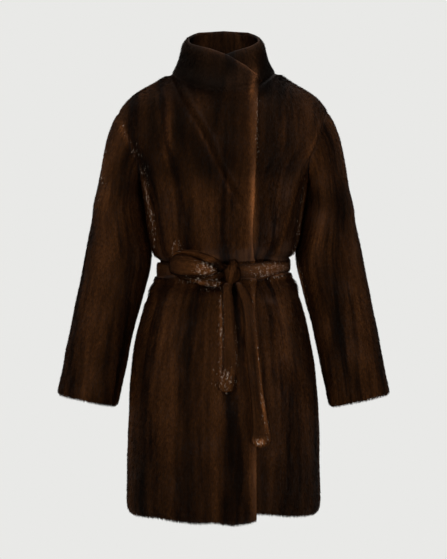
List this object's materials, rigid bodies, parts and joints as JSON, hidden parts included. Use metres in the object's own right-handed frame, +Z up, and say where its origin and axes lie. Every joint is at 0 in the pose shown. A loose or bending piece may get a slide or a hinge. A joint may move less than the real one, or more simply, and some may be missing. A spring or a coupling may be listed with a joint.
{
  "type": "fur wrap coat",
  "caption": "Long-sleeved wrap coat of short dense fur with a stand collar, a wide lapel worn closed and a tied belt, filled out as worn.",
  "frame": {"origin": "foot of the neck, midway between the shoulders, where the wearer or a hanger carries the coat", "axes": "+Z up, the front faces -Y, +X to the right of a viewer in front, which is the wearer's left"},
  "size_m": [0.662, 0.2963, 0.9887],
  "materials": {
    "fur": "short dense dark brown fur with a silky sheen, in vertical strips"
  },
  "bodies": {
    "root": {"back": "fur", "right_front": "fur", "left_front": "fur", "right_sleeve": "fur", "left_sleeve": "fur", "collar": "fur", "belt": "fur", "belt_knot": "fur", "belt_bow": "fur", "belt_short_end": "fur", "belt_long_end": "fur"}
  },
  "joints": []
}
